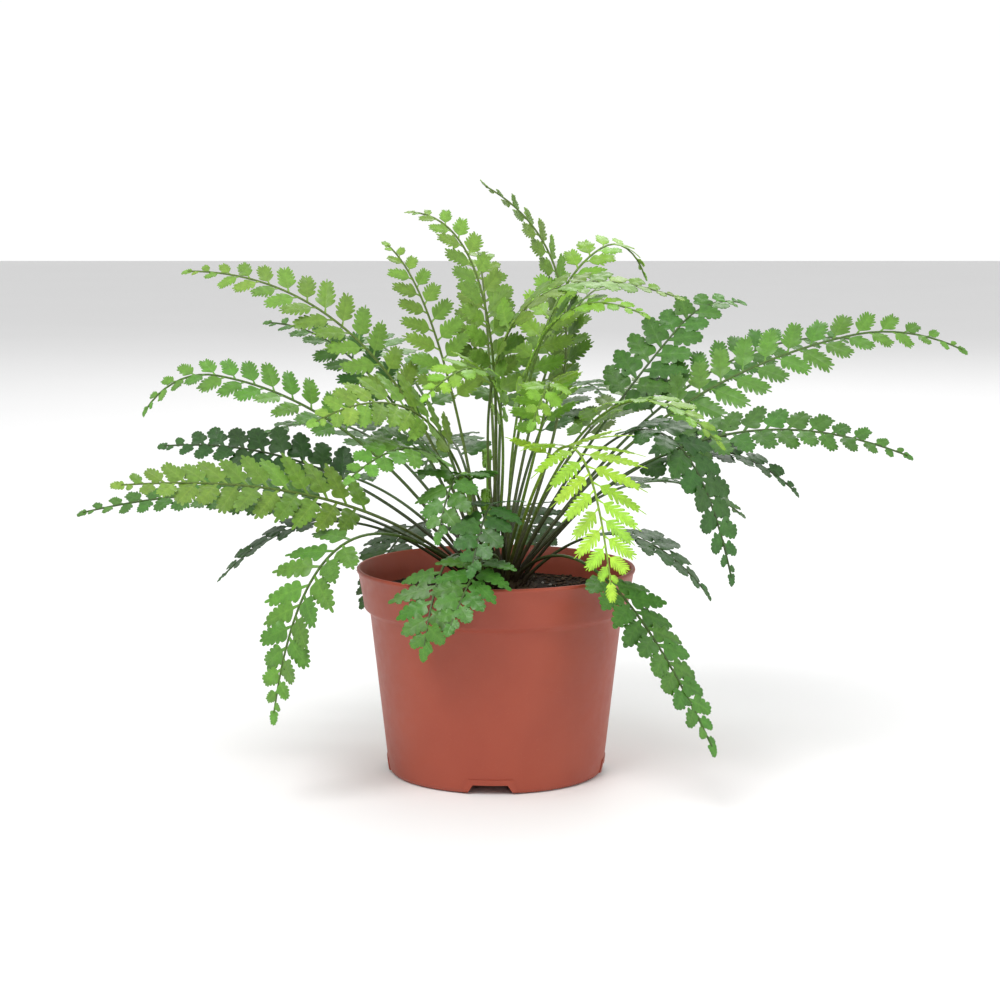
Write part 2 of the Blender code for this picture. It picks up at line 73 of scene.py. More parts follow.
# --- fronds, as in the part, with the leaf kind and the tint -----------------------------------
# azimuth, shoulder, tip, swing, roll, leaflet, pairs, bare, curl, kind, tint
FRONDS = [
    # right
    (35, (60, 160), (130, 212), 0, 30, 20, 9, 0.50, 25, "A", "mid"),
    (25, (95, 195), (182, 181), 0, 35, 19, 12, 0.42, 0, "C", "mid"),
    (5, (78, 190), (203, 193), 0, 40, 22, 13, 0.40, 14, "C", "fresh"),
    (-12, (80, 176), (174, 141), 0, 35, 18, 11, 0.45, 0, "B", "mid"),
    (-35, (85, 215), (116, 95), 0, 10, 20, 9, 0.50, 0, "A", "dark"),
    (-8, (75, 172), (127, 124), 0, 20, 18, 7, 0.50, 0, "A", "dark"),
    (-45, (55, 128), (122, 30), 0, 0, 21, 10, 0.38, 0, "A", "mid"),
    (-22, (55, 128), (94, 84), 0, 0, 20, 6, 0.42, 0, "A", "dark"),
    # left
    (165, (45, 215), (140, 214), 0, -35, 22, 12, 0.42, 0, "C", "olive"),
    (150, (55, 190), (118, 190), 0, -30, 19, 9, 0.45, 0, "C", "mid"),
    (178, (70, 180), (154, 172), 0, -35, 19, 11, 0.45, 28, "C", "fresh"),
    (170, (70, 145), (148, 138), 0, -45, 18, 9, 0.45, 0, "A", "dark"),
    (189, (75, 138), (175, 116), 0, -30, 17, 12, 0.42, 0, "B", "mid"),
    (202, (62, 134), (163, 132), 0, -45, 24, 12, 0.34, 0, "B", "olive"),
    (218, (95, 150), (114, 40), 0, -10, 25, 9, 0.45, 0, "B", "fresh"),
    (195, (72, 135), (118, 90), 0, 0, 18, 7, 0.50, 0, "A", "dark"),
    # middle
    (222, (24, 185), (97, 158), 0, -45, 23, 10, 0.42, 0, "B", "olive"),
    (230, (30, 168), (90, 136), 0, -30, 20, 8, 0.42, 0, "B", "fresh"),
    (248, (35, 165), (62, 112), 0, 0, 22, 6, 0.50, 0, "B", "mid"),
    (272, (40, 150), (70, 100), -12, 0, 20, 6, 0.50, 0, "A", "dark"),
    (-66, (80, 205), (110, 98), 0, 0, 34, 11, 0.46, 0, "D", "lime"),
    (-55, (58, 208), (77, 160), -36, 0, 20, 9, 0.52, 0, "C", "bright"),
    (-40, (55, 200), (113, 150), 4, 0, 20, 9, 0.48, 0, "C", "bright"),
    (247, (55, 124), (74, 66), 0, 0, 22, 5, 0.58, 0, "A", "mid"),
    (-90, (50, 120), (80, 78), -18, 0, 21, 6, 0.50, 0, "A", "mid"),
    # top
    (30, (70, 215), (16, 251), 37, 0, 21, 11, 0.45, 0, "C", "olive"),
    (135, (32, 205), (68, 225), 0, -20, 20, 9, 0.48, 0, "C", "olive"),
    (150, (-12, 238), (42, 240), 0, -20, 20, 10, 0.48, 0, "C", "olive"),
    (45, (20, 240), (98, 226), 0, 20, 19, 11, 0.45, 30, "C", "bright"),
    (-8, (-25, 240), (77, 205), 0, 15, 21, 12, 0.45, 0, "B", "olive"),
    (-25, (2, 225), (67, 199), 0, 20, 20, 11, 0.45, 0, "C", "bright"),
    (232, (-15, 205), (46, 166), 0, -20, 20, 9, 0.48, 0, "C", "bright"),
    # back
    (70, (70, 185), (150, 150), 0, 0, 21, 10, 0.42, 0, "C", "mid"),
    (88, (65, 200), (165, 165), 0, 0, 22, 11, 0.42, 0, "B", "fresh"),
    (104, (75, 170), (150, 110), 0, 0, 21, 10, 0.42, 0, "A", "mid"),
    (119, (70, 200), (168, 175), 0, 0, 21, 11, 0.42, 0, "C", "fresh"),
    (134, (80, 170), (165, 130), 0, 0, 22, 10, 0.42, 0, "B", "mid"),
    (52, (80, 180), (165, 155), 0, 0, 21, 11, 0.42, 0, "C", "olive"),
    (80, (60, 135), (120, 70), 0, 0, 20, 8, 0.45, 0, "A", "dark"),
    (124, (60, 130), (112, 56), 0, 0, 20, 8, 0.45, 0, "A", "dark"),
    (150, (75, 150), (145, 108), 0, 0, 20, 9, 0.45, 0, "A", "mid"),
    (36, (75, 145), (140, 100), 0, 0, 20, 9, 0.45, 0, "A", "mid"),
    (96, (30, 215), (88, 222), 0, 0, 20, 10, 0.45, 0, "B", "olive"),
    (62, (45, 205), (112, 205), 0, 0, 20, 10, 0.45, 0, "C", "olive"),
]
CROZIERS = [(263, 36, 122), (245, 32, 128), (100, 24, 132)]

STALK_W, STALK_TIP_W, STALK_SPANS = 1.9, 0.8, 6
LEAFLET_FILL, LEAFLET_WIDEST = 0.86, 0.45
SWEEP_BASE, SWEEP_TIP, RAISE = 24.0, 48.0, 10.0
ARC_SAMPLES, CURL_START = 96, 0.80

# --- looks -------------------------------------------------------------------------------------
# Lobes per side, depth of the cuts, width of a lobe over its share, notch at its tip, size of
# the lobe next to the stalk, and how far the lobes lean forward (degrees at base and tip).
KINDS = {
    "A": (4, 0.34, 0.98, 0.07, 1.30, (66, 36)),
    "B": (5, 0.58, 0.90, 0.05, 1.18, (60, 32)),
    "C": (6, 0.80, 0.74, 0.00, 1.08, (52, 26)),
    "D": (7, 0.86, 0.58, 0.22, 1.00, (50, 24)),
}
TINTS = {
    "dark": (0.030, 0.105, 0.014),
    "mid": (0.055, 0.165, 0.018),
    "fresh": (0.085, 0.220, 0.022),
    "olive": (0.135, 0.260, 0.030),
    "bright": (0.165, 0.350, 0.024),
    "lime": (0.270, 0.500, 0.030),
}
LEAF_THICKNESS = 0.26
COLUMNS = np.array([-1.0, -0.5, 0.0, 0.5, 1.0])
# How far along a lobe beyond its cut each row lies, and its half width there.
LOBE_ROWS = [(0.28, 1.02), (0.58, 1.0), (0.82, 0.84), (0.95, 0.62), (1.0, 0.36)]


# --- the part's own geometry -------------------------------------------------------------------
def crown_height(r):
    return CROWN_TOP_Z - (CROWN_TOP_Z - CROWN_EDGE_Z) * (r / CROWN_R) ** 2


def wall_radius(z):
    return WALL_BASE_R + (WALL_TOP_R - WALL_BASE_R) * z / BAND_Z


class Spine:
    """A frond's stalk: an arc sampled evenly along its length, with a frame at each point."""

    def __init__(self, spec, seat=(0.0, 0.0), lean=0.0):
        azimuth, shoulder, tip, swing, roll = spec[:5]
        curl = spec[8]
        a = math.radians(azimuth)
        self.out = Vector((math.cos(a), math.sin(a), 0))
        self.across = Vector((-math.sin(a), math.cos(a), 0))
        steep = math.degrees(math.atan2(shoulder[1] - CROWN_TOP_Z, shoulder[0]))
        seat_r = min(CROWN_R - 1.5, max(3.0, 4.0 + 12.0 * (1 - steep / 90.0)) + seat[0])
        b = a + math.radians(seat[1])
        start = Vector((seat_r * math.cos(b), seat_r * math.sin(b), crown_height(seat_r) + GAP))
        mid = self.out * shoulder[0] + self.across * lean + Vector((0, 0, shoulder[1]))
        end = self.out * tip[0] + self.across * swing + Vector((0, 0, tip[1]))
        points = []
        for i in range(ARC_SAMPLES + 1):
            t = i / ARC_SAMPLES
            points.append(start * (1 - t) ** 2 + mid * 2 * t * (1 - t) + end * t * t)
        hinge = int(ARC_SAMPLES * CURL_START)
        for i in range(hinge + 1, ARC_SAMPLES + 1):
            turn = math.radians(curl) * (i - hinge) / (ARC_SAMPLES - hinge)
            spin = Matrix.Rotation(turn, 3, self.across)
            points[i] = points[hinge] + spin @ (points[i] - points[hinge])
        self.lengths = [0.0]
        for p, q in zip(points, points[1:]):
            self.lengths.append(self.lengths[-1] + (q - p).length)
        self.points, self.roll, self.length = points, math.radians(roll), self.lengths[-1]

    def at(self, s):
        """Point and (along, across, up) frame at a fraction s of the length."""
        goal, i = s * self.length, 1
        while i < ARC_SAMPLES and self.lengths[i] < goal:
            i += 1
        span = self.lengths[i] - self.lengths[i - 1]
        u = (goal - self.lengths[i - 1]) / span
        point = self.points[i - 1].lerp(self.points[i], u)
        low, high = max(0, i - 3), min(ARC_SAMPLES, i + 2)
        along = (self.points[high] - self.points[low]).normalized()
        across = (self.across - along * self.across.dot(along)).normalized()
        turn = Matrix.Rotation(self.roll * min(1.0, s / 0.4), 3, along)
        across = turn @ across
        return point, along, across, along.cross(across)


def stalk_stations(pairs, bare):
    blade = [bare + (0.985 - bare) * k / (2 * pairs) for k in range(2 * pairs + 1)]
    return [bare * k / STALK_SPANS for k in range(STALK_SPANS)] + blade


def stalk_half(s):
    return (STALK_W + (STALK_TIP_W - STALK_W) * s ** 0.7) * 0.5


def stalk_section(spine, s):
    point, along, across, up = spine.at(s)
    half = stalk_half(s)
    return [point + across * half + up * half * 0.5, point - across * half + up * half * 0.5,
            point - up * half * 1.1]


def leaflet_length(longest, x):
    return longest * (0.68 + 0.32 * min(1.0, x / 0.25)) * max(0.0, 1.0 - x) ** 0.6 + 1.5


def leaflet_frame(spine, s, side, sweep, rise):
    """A leaflet's foot on the stalk's axis, and its (reach, breadth, face) directions."""
    point, along, across, up = spine.at(s)
    lean, lift = math.radians(sweep), math.radians(rise)
    reach = (across * side * math.cos(lift) + up * math.sin(lift)) * math.cos(lean)
    reach = reach + along * math.sin(lean)
    face = (up * math.cos(lift) - across * side * math.sin(lift)).normalized()
    breadth = face.cross(reach).normalized()
    if breadth.dot(along) < 0:
        breadth.negate()
    return point, reach, breadth, face


def crozier_spine(azimuth, reach, height):
    """A stalk that rises to a coil lying in its own upright plane."""
    a = math.radians(azimuth)
    out, up = Vector((math.cos(a), math.sin(a), 0)), Vector((0, 0, 1))
    centre = out * reach + up * height
    coil = []
    for i in range(15):
        turn = math.radians(180 - 25 * i)
        r = 5.2 - 0.19 * i
        coil.append(centre + out * r * math.cos(turn) + up * r * math.sin(turn))
    foot = out * 11 + up * (crown_height(11) + GAP)
    bend = coil[0] - up * 24
    stem = [foot * (1 - t) ** 2 + bend * 2 * t * (1 - t) + coil[0] * t * t
            for t in (0, 0.2, 0.4, 0.6, 0.8)]
    return stem + coil, Vector((-math.sin(a), math.cos(a), 0))


# --- finding the part's leaves -----------------------------------------------------------------
MATCH = 0.05                 # a CAD corner this close counts as found


def cad_corners(node):
    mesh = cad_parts[node].data
    corners = KDTree(len(mesh.vertices))
    for i, v in enumerate(mesh.vertices):
        corners.insert((v.co - AXIS) / MM, i)
    corners.balance()
    return corners


def find_spine(spec, corners):
    """The spine whose stalk sections are among the solid's corners."""
    tries = [(r, a, lean) for a in (0, 14, -14, 28, -28, 44, -44, 70, -70, 110, -110)
             for r in (0, 2, -2, 4, 7) for lean in (0, 3, -3, 6, -6, 10, -10, 15, -15, 20, -20)]
    tries.sort(key=lambda t: abs(t[0]) + abs(t[1]) / 10 + abs(t[2]) / 2)
    stations = stalk_stations(spec[6], spec[7])
    for reach, turn, lean in tries:
        spine = Spine(spec, (reach, turn), lean)
        if all(corners.find(p)[2] < MATCH for s in stations[1:3] for p in stalk_section(spine, s)):
            return spine
    raise RuntimeError(f"no stalk found at azimuth {spec[0]}")


def find_leaflets(index, spec, spine, corners):
    """(x, s, side, length, width, sweep, rise, scale) for each place a leaflet grows."""
    longest, pairs, bare = spec[5], spec[6], spec[7]
    stations = stalk_stations(pairs, bare)
    rng = random.Random(100 + index)
    pitch = spine.length * (0.985 - bare) / pairs
    leaflets = []
    for k in range(2 * pairs):
        n, x, side = STALK_SPANS + k, (k + 0.5) / (2 * pairs), 1 if k % 2 else -1
        length = leaflet_length(longest, x) * rng.uniform(0.93, 1.07)
        sweep = SWEEP_BASE + (SWEEP_TIP - SWEEP_BASE) * x + rng.uniform(-4, 4)
        rise = RAISE + rng.uniform(-7, 7)
        width = min(pitch * LEAFLET_FILL, length * 0.6)
        s = (stations[n] + stations[n + 1]) / 2
        found = None
        for scale, tilt in ((c, t) for c in (1.0, 0.8, 0.62, 0.45, 0.3)
                            for t in (0, 14, -14, 28, -28, 42, -42)):
            point, reach = leaflet_frame(spine, s, side, sweep, rise + tilt)[:2]
            if corners.find(point + reach * length * scale)[2] < MATCH:
                found = (scale, tilt)
                break
        scale, tilt = found or (0.3, 0)
        leaflets.append((x, s, side, length, width, sweep, rise + tilt, scale))
    return leaflets


# --- leaf blades -------------------------------------------------------------------------------
def lerp_rows(a, b):
    t = (COLUMNS[:, None] + 1) / 2
    return a[None, :] * (1 - t) + b[None, :] * t


def lobe_rows(base, shoulder, direction, sideways, reach, half, notch):
    """Rows of points out along one lobe: (rows, columns, 2)."""
    rows = [base, shoulder]
    middle = shoulder[len(COLUMNS) // 2]
    for r, w in LOBE_ROWS:
        row = middle + direction * (reach * r) + sideways * (half * w * COLUMNS[:, None])
        lag = 0.42 * half * w * r * COLUMNS ** 2
        if r == 1.0:
            lag = lag + notch * reach * (1 - 2 * np.abs(np.abs(COLUMNS) - 0.5))[::1] * -1
            lag = lag + notch * reach
        row = row - direction * lag[:, None]
        rows.append(row)
    return np.array(rows)


def blade(kind, length, half, rng):
    """Points (n, 2), quads, vein weights and painted-highlight weights (lobe edges and tips) of a
    leaflet lying in its own frame.
    """
    lobes, cut, fill, notch, ear, leans = KINDS[kind]
    marks = np.linspace(0.13, 0.80, lobes + 1)

    def reach_at(u):
        return half * 1.3 * np.interp(u, [0.1, 0.3, 0.5, 0.8, 1.0], [0.78, 1.0, 0.97, 0.62, 0.4])

    def heading(u, side):
        a = math.radians(np.interp(u, [0.1, 0.8], leans))
        return np.array([math.cos(a), side * math.sin(a)]), np.array([math.sin(a),
                                                                     -side * math.cos(a)])

    points, quads, veins, edge_highlights = [], [], [], []

    def add(rows, flip, highlight_from):
        start = sum(len(p) for p in points)
        n, m = rows.shape[0], rows.shape[1]
        points.append(rows.reshape(-1, 2))
        for i in range(n - 1):
            for k in range(m - 1):
                a, b = start + i * m + k, start + (i + 1) * m + k
                quads.append((a, b, b + 1, a + 1) if flip else (a, a + 1, b + 1, b))
        vein, edge_highlight = np.zeros((n, m)), np.zeros((n, m))
        vein[:, m // 2] = np.linspace(0.9, 0.35, n)
        vein[0, :] = 1.0
        # painted highlight: the lobe's edges and its tip row are marked to be coloured paler
        edge_highlight[highlight_from:, 0] = edge_highlight[highlight_from:, -1] = 1.0
        edge_highlight[-1, :] = 1.0
        veins.append(vein.ravel())
        edge_highlights.append(edge_highlight.ravel())

    ends = {}
    for side in (1, -1):
        sinus = []
        for j, u in enumerate(marks):
            d, p = heading(u, side)
            depth = reach_at(u) * (1 - cut) * (0.45 if j == 0 else 1.0)
            sinus.append(np.array([u * length, 0.0]) + d * depth)
        ends[side] = sinus
        for j in range(lobes):
            u = (marks[j] + marks[j + 1]) / 2
            d, p = heading(u, side)
            a, b = (np.array([marks[k] * length, 0.0]) for k in (j, j + 1))
            base, shoulder = lerp_rows(a, b), lerp_rows(sinus[j], sinus[j + 1])
            full = reach_at(u) * rng.uniform(0.90, 1.10) * (ear if j == 0 and side > 0 else 1.0)
            reach = max(0.3, full - float(np.linalg.norm((sinus[j] + sinus[j + 1] - a - b) / 2)))
            width = float(np.linalg.norm(sinus[j + 1] - sinus[j])) / 2 * fill
            if j == 0:
                width *= 1.15
            rows = lobe_rows(base, shoulder, d, p, reach, width, notch)
            add(rows, side < 0, 1)
    tip = np.array([marks[-1] * length, 0.0])
    left, right = ends[-1][-1], ends[1][-1]
    across = np.abs(COLUMNS)[:, None]
    base = np.where(COLUMNS[:, None] < 0, left * across + tip * (1 - across),
                    right * across + tip * (1 - across))
    middle = (left + right) / 2
    shoulder = base + np.array([[max(0.2, middle[0] - tip[0]) + 0.1, 0.0]])
    shoulder[:, 1] *= 0.92
    shoulder[0, 0], shoulder[-1, 0] = left[0] + 0.25, right[0] + 0.25
    width = abs(right[1]) * 0.92
    rows = lobe_rows(base, shoulder, np.array([1.0, 0.0]), np.array([0.0, 1.0]),
                     max(0.4, length - float(shoulder[2, 0])), width, notch)
    add(rows, True, 1)
    # the short winged stalk of the leaflet
    foot = np.array([[0.0, -0.5], [0.0, 0.0], [0.0, 0.5]])
    neck = np.array([ends[-1][0], [marks[0] * length, 0.0], ends[1][0]])
    start = sum(len(p) for p in points)
    points.append(np.vstack([foot, neck]))
    quads.extend([(start, start + 3, start + 4, start + 1),
                  (start + 1, start + 4, start + 5, start + 2)])
    veins.append(np.array([1.0, 1.0, 1.0, 0.2, 1.0, 0.2]))
    edge_highlights.append(np.array([0.0, 0.0, 0.0, 1.0, 0.0, 1.0]))
    return np.vstack(points), quads, np.concatenate(veins), np.concatenate(edge_highlights)


def shaped(flat, length, half, rng, kind):
    """The blade's height above its own plane: folded, cupped, drooping and a little wavy."""
    x, y = flat[:, 0], flat[:, 1]
    fold, cup = rng.uniform(0.06, 0.20), rng.uniform(0.02, 0.05)
    droop, wave = rng.uniform(0.05, 0.24), rng.uniform(0.03, 0.09)
    phase, twist = rng.uniform(0, 6.3), rng.uniform(-0.14, 0.14)
    off = np.abs(y)
    height = fold * off - cup * off * off - droop * x * x / max(length, 1.0)
    height += wave * off * np.sin(5.2 * x / max(half, 1.0) + phase + (y > 0) * 1.7)
    return height + twist * y * x / max(length, 1.0)


# --- meshes ------------------------------------------------------------------------------------
def place(points):
    """Millimetres from the pot's axis to metres in the frame."""
    return [Vector(p) * MM + AXIS for p in points]


def new_object(name, mesh, materials, node):
    for mat in materials:
        mesh.materials.append(mat)
    ob = bpy.data.objects.new(name, mesh)
    bpy.context.collection.objects.link(ob)
    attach(ob, "root")
    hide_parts(node)
    return ob


def attributed_mesh(name, points, faces, tints, veins, edge_highlights):
    mesh = bpy.data.meshes.new(name)
    mesh.from_pydata(place(points), [], faces)
    tint = mesh.attributes.new("tint", "FLOAT_COLOR", "POINT")
    colours = np.ones((len(points), 4), dtype=np.float32)
    colours[:, :3] = tints
    tint.data.foreach_set("color", colours.ravel())
    # the second float layer holds the painted highlight on leaf edges and lobe tips
    for label, values in (("vein", veins), ("edge_highlight", edge_highlights)):
        layer = mesh.attributes.new(label, "FLOAT", "POINT")
        layer.data.foreach_set("value", np.asarray(values, dtype=np.float32))
    return mesh


def thickened(mesh):
    """The same sheet with its doubled points joined, as a thin closed shell."""
    bm = bmesh.new()
    bm.from_mesh(mesh)
    bmesh.ops.remove_doubles(bm, verts=bm.verts, dist=0.02 * MM)
    bm.to_mesh(mesh)
    bm.free()
    shell = bpy.data.objects.new("shell", mesh)
    bpy.context.collection.objects.link(shell)
    mod = shell.modifiers.new("thickness", "SOLIDIFY")
    mod.thickness, mod.offset = LEAF_THICKNESS * MM, 0.0
    graph = bpy.context.evaluated_depsgraph_get()
    thick = bpy.data.meshes.new_from_object(shell.evaluated_get(graph))
    bpy.data.objects.remove(shell, do_unlink=True)
    bpy.data.meshes.remove(mesh)
    return thick


def tube(path, frames, radii, sides=8, groove=0.0):
    """Rings round a path, closed at both ends: points and faces."""
    points, faces = [], []
    for p, (across, up), r in zip(path, frames, radii):
        for k in range(sides):
            a = math.tau * k / sides
            dent = 1.0 - groove * max(0.0, math.sin(a)) ** 6
            points.append(p + across * (r * math.cos(a)) + up * (r * dent * math.sin(a)))
    for i in range(len(path) - 1):
        for k in range(sides):
            a, b, m = i * sides, (i + 1) * sides, (k + 1) % sides
            faces.append((a + k, a + m, b + m, b + k))
    faces.append(tuple(reversed(range(sides))))
    faces.append(tuple(range((len(path) - 1) * sides, len(path) * sides)))
    return points, faces


def build_frond(index, spec, leaf, stalk_mat):
    node = f"frond_{index + 1:02d}"
    kind, tint = spec[9], np.array(TINTS[spec[10]])
    corners = cad_corners(node)
    spine = find_spine(spec, corners)
    leaflets = find_leaflets(index, spec, spine, corners)
    rng = random.Random(500 + index)
    points, faces, tints, veins, edge_highlights = [], [], [], [], []
    tone = rng.uniform(0.92, 1.08)

    def grow(origin, reach, breadth, face, length, half, x):
        flat, quads, vein, edge_highlight = blade(kind, length, half, rng)
        height = shaped(flat, length, half, rng, kind)
        start = sum(len(p) for p in points)
        solid = (np.outer(flat[:, 0], reach) + np.outer(flat[:, 1], breadth)
                 + np.outer(height, face) + np.array(origin))
        points.append(solid)
        mirrored = reach.cross(breadth).dot(face) < 0
        for quad in quads:
            order = quad[::-1] if mirrored else quad
            faces.append(tuple(start + v for v in order))
        shade = tone * rng.uniform(0.86, 1.14)
        young = max(0.0, x - 0.55) * 0.5
        colour = tint * shade * (1 + young)
        colour[0] *= rng.uniform(0.9, 1.12)
        tints.append(np.tile(colour, (len(flat), 1)))
        veins.append(vein)
        edge_highlights.append(edge_highlight)

    for x, s, side, length, width, sweep, rise, scale in leaflets:
        origin, reach, breadth, face = leaflet_frame(spine, s, side, sweep, rise)
        size = max(scale, 0.62) * 1.02
        half = width * max(scale, 0.75) * 0.5 * 1.12
        grow(origin + reach * stalk_half(s) * 0.4, reach, breadth, face, length * size, half, x)
    point, along, across, up = spine.at(0.985)
    last = leaflet_length(spec[5], 0.86)
    grow(point, along, across, up, last * 0.8, last * 0.24, 1.0)

    mesh = attributed_mesh(node + "_blades", np.vstack(points), faces, np.vstack(tints),
                           np.concatenate(veins), np.concatenate(edge_highlights))
    mesh = thickened(mesh)
    bm = bmesh.new()
    bm.from_mesh(mesh)

    path, frames, radii = [], [], []
    steps = 44
    for i in range(steps + 1):
        s = i / steps
        point, along, across, up = spine.at(min(s, 0.9999))
        path.append(point - (Vector((0, 0, 0.9)) if i == 0 else Vector()))
        frames.append((across, up))
        radii.append(stalk_half(s) * (1.0 + 0.5 * max(0.0, 0.05 - s) / 0.05) * 0.98)
    tube_points, tube_faces = tube(path, frames, radii, 8, 0.35)
    shade = np.array([tint * 0.55 + np.array((0.012, 0.0, 0.0))] * len(tube_points))
    ripe = np.repeat(np.clip(1 - np.linspace(0, 1, steps + 1) / 0.35, 0, 1), 8)[:, None]
    shade = shade * (1 - ripe) + np.array((0.035, 0.022, 0.010)) * ripe
    stalk = attributed_mesh(node + "_stalk", tube_points, tube_faces, shade,
                            np.zeros(len(tube_points)), np.zeros(len(tube_points)))
    known = len(bm.faces)
    bm.from_mesh(stalk)
    bm.faces.ensure_lookup_table()
    for face in bm.faces[known:]:
        face.material_index = 1
    bm.to_mesh(mesh)
    bm.free()
    bpy.data.meshes.remove(stalk)
    mesh.shade_smooth()
    mesh.set_sharp_from_angle(angle=math.radians(55))
    return new_object(node + "_leaves", mesh, (leaf, stalk_mat), node)


# --- materials ---------------------------------------------------------------------------------
class Nodes:
    """A material's nodes, with short names for the few that are needed here."""

    def __init__(self, name):
        self.mat = bpy.data.materials.new(name)
        self.mat.use_nodes = True
        self.tree = self.mat.node_tree
        self.shader = self.tree.nodes["Principled BSDF"]
        self.place = self.tree.nodes.new("ShaderNodeTexCoord").outputs["Object"]

    def node(self, kind, **inputs):
        node = self.tree.nodes.new(kind)
        for key, value in inputs.items():
            self.set(node.inputs[key.replace("_", " ")], value)
        return node

    def set(self, socket, value):
        if isinstance(value, bpy.types.NodeSocket):
            self.tree.links.new(value, socket)
        else:
            socket.default_value = value

    def noise(self, scale, detail=3.0, rough=0.55):
        node = self.node("ShaderNodeTexNoise", Vector=self.place, Scale=scale, Detail=detail,
                         Roughness=rough)
        return node.outputs["Fac"]

    def remap(self, value, low, high, to_low, to_high):
        node = self.node("ShaderNodeMapRange")
        for i, v in enumerate((value, low, high, to_low, to_high)):
            self.set(node.inputs[i], v)
        return node.outputs[0]

    def math(self, operation, a, b):
        node = self.tree.nodes.new("ShaderNodeMath")
        node.operation = operation
        self.set(node.inputs[0], a)
        self.set(node.inputs[1], b)
        return node.outputs[0]

    def mix(self, factor, a, b, blend="MIX"):
        node = self.tree.nodes.new("ShaderNodeMix")
        node.data_type = "RGBA"
        node.blend_type = blend
        self.set(node.inputs[0], factor)
        self.set(node.inputs[6], a)
        self.set(node.inputs[7], b)
        return node.outputs[2]

    def attribute(self, name, output="Fac"):
        node = self.tree.nodes.new("ShaderNodeAttribute")
        node.attribute_name = name
        return node.outputs[output]

    def bump(self, height, strength, distance):
        node = self.node("ShaderNodeBump", Height=height, Strength=strength, Distance=distance)
        self.set(self.shader.inputs["Normal"], node.outputs["Normal"])

    def finish(self, colour, roughness, specular=0.5):
        self.set(self.shader.inputs["Base Color"], colour)
        self.set(self.shader.inputs["Roughness"], roughness)
        self.shader.inputs["Specular IOR Level"].default_value = specular
        return self.mat


def leaf_material():
    n = Nodes("fern_leaf")
    tint = n.attribute("tint", "Color")
    mottle = n.remap(n.noise(420.0), 0.3, 0.7, 0.80, 1.18)
    broad = n.remap(n.noise(38.0, 2.0), 0.3, 0.7, 0.86, 1.12)
    shade = n.math("MULTIPLY", mottle, broad)
    grey = n.node("ShaderNodeCombineColor", Red=shade, Green=shade, Blue=shade).outputs[0]
    colour = n.mix(1.0, tint, grey, "MULTIPLY")
    vein = n.math("POWER", n.attribute("vein"), 5.0)
    pale = n.mix(1.0, tint, (1.75, 1.45, 1.5, 1.0), "MULTIPLY")
    colour = n.mix(n.math("MULTIPLY", vein, 0.40), colour, pale)
    # painted highlight: lobe edges and tips are mixed towards the paler colour
    edge_highlight = n.math("POWER", n.attribute("edge_highlight"), 3.0)
    colour = n.mix(n.math("MULTIPLY", edge_highlight, 0.45), colour, pale)
    rough = n.remap(n.noise(160.0), 0.3, 0.7, 0.36, 0.50)
    height = n.math("SUBTRACT", n.math("MULTIPLY", n.noise(900.0), 0.25), vein)
    n.bump(height, 0.35, 0.00025)
    n.shader.inputs["Coat Weight"].default_value = 0.06
    n.shader.inputs["Coat Roughness"].default_value = 0.3
    return n.finish(colour, rough, 0.42)


def stalk_material():
    n = Nodes("fern_stalk")
    streak = n.remap(n.noise(700.0), 0.3, 0.7, 0.7, 1.3)
    grey = n.node("ShaderNodeCombineColor", Red=streak, Green=streak, Blue=streak).outputs[0]
    colour = n.mix(1.0, n.attribute("tint", "Color"), grey, "MULTIPLY")
    n.bump(n.noise(1500.0), 0.3, 0.0002)
    return n.finish(colour, n.remap(n.noise(300.0), 0.3, 0.7, 0.42, 0.58))


def plastic_material():
    n = Nodes("terracotta_plastic")
    cloud = n.remap(n.noise(28.0, 4.0), 0.3, 0.7, 0.0, 1.0)
    colour = n.mix(cloud, (0.300, 0.047, 0.021, 1), (0.345, 0.060, 0.027, 1))
    speck = n.remap(n.noise(1400.0, 2.0), 0.62, 0.75, 0.0, 0.16)
    colour = n.mix(speck, colour, (0.42, 0.13, 0.08, 1))
    rough = n.remap(n.noise(220.0, 4.0), 0.3, 0.7, 0.42, 0.52)
    n.bump(n.noise(2200.0, 2.0), 0.10, 0.0002)
    return n.finish(colour, rough, 0.5)


def earth_material(name, dark, light, rough):
    n = Nodes(name)
    grain = n.remap(n.noise(600.0, 6.0, 0.7), 0.35, 0.7, 0.0, 1.0)
    colour = n.mix(grain, (*dark, 1), (*light, 1))
    n.bump(n.noise(1100.0, 5.0, 0.7), 0.8, 0.0008)
    return n.finish(colour, n.remap(n.noise(350.0), 0.3, 0.7, rough - 0.08, rough + 0.08), 0.25)


# --- pot ---------------------------------------------------------------------------------------
def mesh_from(name, points, faces, smooth=True):
    mesh = bpy.data.meshes.new(name)
    mesh.from_pydata(place(points), [], faces)
    bm = bmesh.new()
    bm.from_mesh(mesh)
    bmesh.ops.recalc_face_normals(bm, faces=bm.faces)
    bm.to_mesh(mesh)
    bm.free()
    if smooth:
        mesh.shade_smooth()
        mesh.set_sharp_from_angle(angle=math.radians(38))
    return mesh


def lathe(profile, segments):
    points, faces, n = [], [], len(profile)
    for i in range(segments):
        a = math.tau * i / segments
        points += [(r * math.cos(a), r * math.sin(a), z) for r, z in profile]
        j = (i + 1) % segments
        for k in range(n):
            m = (k + 1) % n
            faces.append((i * n + k, j * n + k, j * n + m, i * n + m))
    return points, faces


